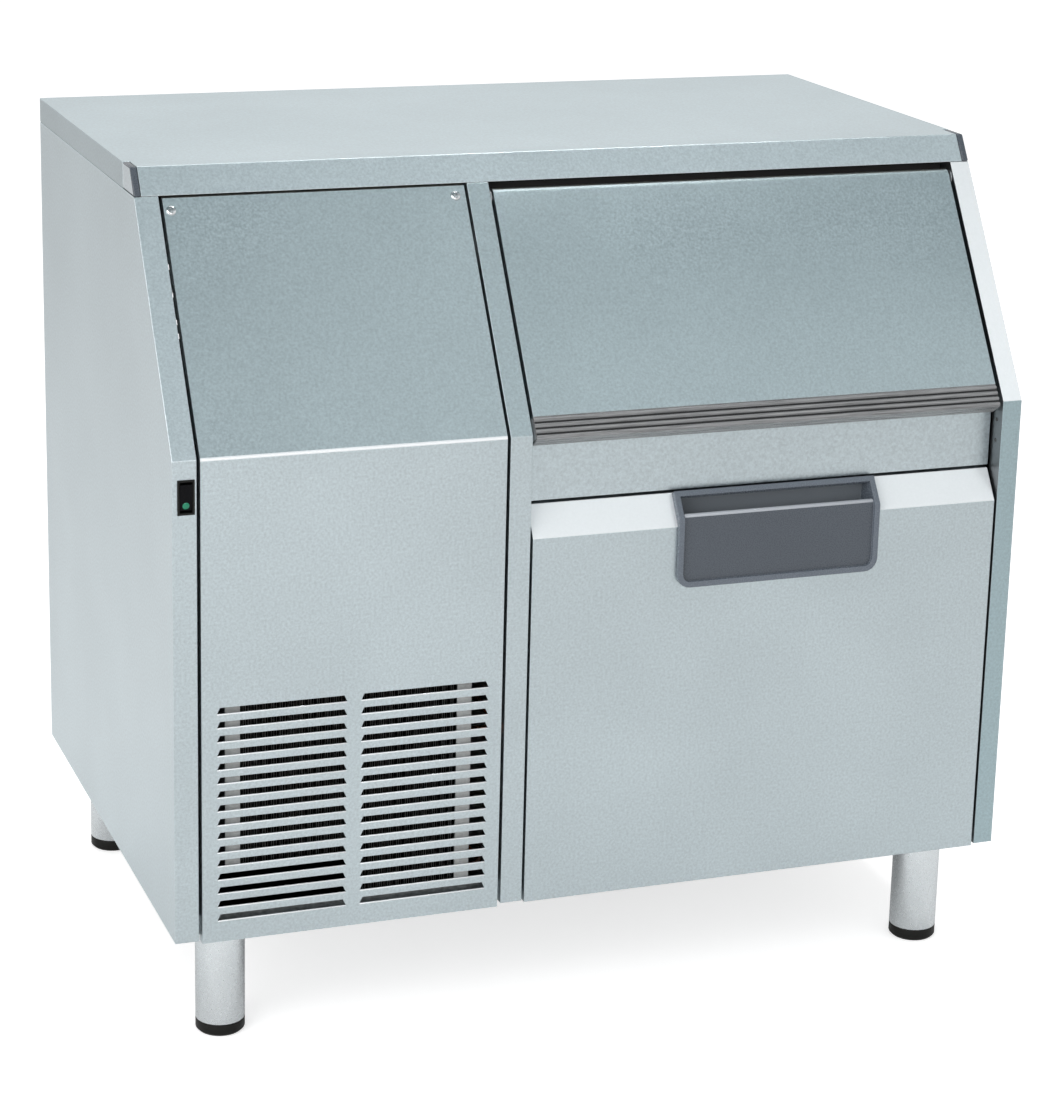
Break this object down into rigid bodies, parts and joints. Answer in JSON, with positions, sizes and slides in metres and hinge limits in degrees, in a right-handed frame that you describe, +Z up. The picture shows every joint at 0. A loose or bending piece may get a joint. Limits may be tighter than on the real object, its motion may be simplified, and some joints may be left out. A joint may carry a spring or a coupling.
{
  "type": "flake ice maker",
  "caption": "Under-counter flake ice maker on tube legs, with a louvred service side, a sloped flap lid over an insulated bin, and a pull-out ice drawer below it.",
  "frame": {"origin": "on the floor, below the centre of the part's bounding box", "axes": "+X to the right seen from the front, +Y to the back, +Z up; the front faces -Y"},
  "size_m": [0.9, 0.605, 0.865],
  "materials": {
    "satin_steel": "satin",
    "bright_steel": "polished",
    "zinc_steel": "satin",
    "grey_metal": "satin",
    "fin_aluminium": "satin",
    "copper": "satin",
    "black_paint": "gloss",
    "black_plastic": "matte",
    "slate_plastic": "satin",
    "white_plastic": "satin",
    "liner_plastic": "satin",
    "grey_rubber": "matte",
    "foam_jacket": "matte",
    "board": "matte"
  },
  "bodies": {
    "cabinet": {"left_side_panel": "satin_steel", "right_side_panel": "satin_steel", "centre_post": "satin_steel", "worktop": "satin_steel", "service_panel": "satin_steel", "front_rail": "satin_steel", "leg_front_left": "satin_steel", "leg_front_right": "satin_steel", "leg_rear_left": "satin_steel", "leg_rear_right": "satin_steel", "base_tray": "zinc_steel", "rear_panel": "zinc_steel", "hinge_left": "zinc_steel", "hinge_right": "zinc_steel", "runner_fixed_left": "zinc_steel", "runner_fixed_right": "zinc_steel", "condenser_frame": "zinc_steel", "fan_motor": "grey_metal", "gear_motor": "grey_metal", "electrical_box": "grey_metal", "condenser_coil": "fin_aluminium", "liquid_line": "copper", "discharge_line": "copper", "suction_line": "copper", "compressor": "black_paint", "switch_frame": "black_plastic", "fan_shroud": "black_plastic", "terminal_cover": "black_plastic", "cable_gland": "black_plastic", "nose_cap_left": "slate_plastic", "nose_cap_right": "slate_plastic", "ice_spout": "white_plastic", "water_reservoir": "white_plastic", "inlet_valve": "white_plastic", "drain_pipe": "white_plastic", "water_hose": "white_plastic", "fill_hose": "white_plastic", "bin_body": "liner_plastic", "freezing_cylinder": "foam_jacket", "worktop_board": "board"},
    "lid": {"lid_skin": "satin_steel", "lid_liner": "liner_plastic", "lid_grip": "black_plastic"},
    "drawer": {"drawer_front": "satin_steel", "drawer_liner": "liner_plastic", "drawer_gasket": "grey_rubber", "drawer_pull": "slate_plastic", "drawer_tub": "liner_plastic", "runner_inner_left": "zinc_steel", "runner_inner_right": "zinc_steel"},
    "runner_middle": {"runner_middle_left": "zinc_steel", "runner_middle_right": "zinc_steel"},
    "fan": {"fan_blade": "black_plastic"},
    "auger": {"auger": "bright_steel"},
    "switch": {"switch_rocker": "black_plastic"},
    "float": {"float_arm": "white_plastic"},
    "foot_front_left": {"foot_front_left": "black_plastic"},
    "foot_front_right": {"foot_front_right": "black_plastic"},
    "foot_rear_left": {"foot_rear_left": "black_plastic"},
    "foot_rear_right": {"foot_rear_right": "black_plastic"}
  },
  "joints": [
    {"name": "lid_hinge", "type": "hinge", "parent": "cabinet", "child": "lid", "pos_m": [0, -0.15114, 0.82255], "axis": [-1, 0, 0], "range_deg": [0, 100]},
    {"name": "drawer_slide", "type": "slide", "parent": "cabinet", "child": "drawer", "axis": [0, -1, 0], "range_m": [0, 0.4]},
    {"name": "runner_slide", "type": "slide", "parent": "cabinet", "child": "runner_middle", "axis": [0, -1, 0], "range_m": [0, 0.2]},
    {"name": "fan_spin", "type": "hinge", "parent": "cabinet", "child": "fan", "pos_m": [-0.269, -0.2975, 0.251], "axis": [0, 1, 0], "continuous": true},
    {"name": "auger_spin", "type": "hinge", "parent": "cabinet", "child": "auger", "pos_m": [-0.185, 0.0025, 0], "axis": [0, 0, 1], "continuous": true},
    {"name": "switch_rock", "type": "hinge", "parent": "cabinet", "child": "switch", "pos_m": [-0.4365, -0.2935, 0.57825], "axis": [-1, 0, 0], "range_deg": [0, 15]},
    {"name": "float_swing", "type": "hinge", "parent": "cabinet", "child": "float", "pos_m": [-0.4057, 0.048, 0.64], "axis": [-1, 0, 0], "range_deg": [0, 14]},
    {"name": "foot_front_left_screw", "type": "slide", "parent": "cabinet", "child": "foot_front_left", "axis": [0, 0, -1], "range_m": [0, 0.015]},
    {"name": "foot_front_right_screw", "type": "slide", "parent": "cabinet", "child": "foot_front_right", "axis": [0, 0, -1], "range_m": [0, 0.015]},
    {"name": "foot_rear_left_screw", "type": "slide", "parent": "cabinet", "child": "foot_rear_left", "axis": [0, 0, -1], "range_m": [0, 0.015]},
    {"name": "foot_rear_right_screw", "type": "slide", "parent": "cabinet", "child": "foot_rear_right", "axis": [0, 0, -1], "range_m": [0, 0.015]}
  ],
  "couplings": [
    {"joint": "runner_slide", "follows": "drawer_slide", "ratio": 0.5}
  ]
}
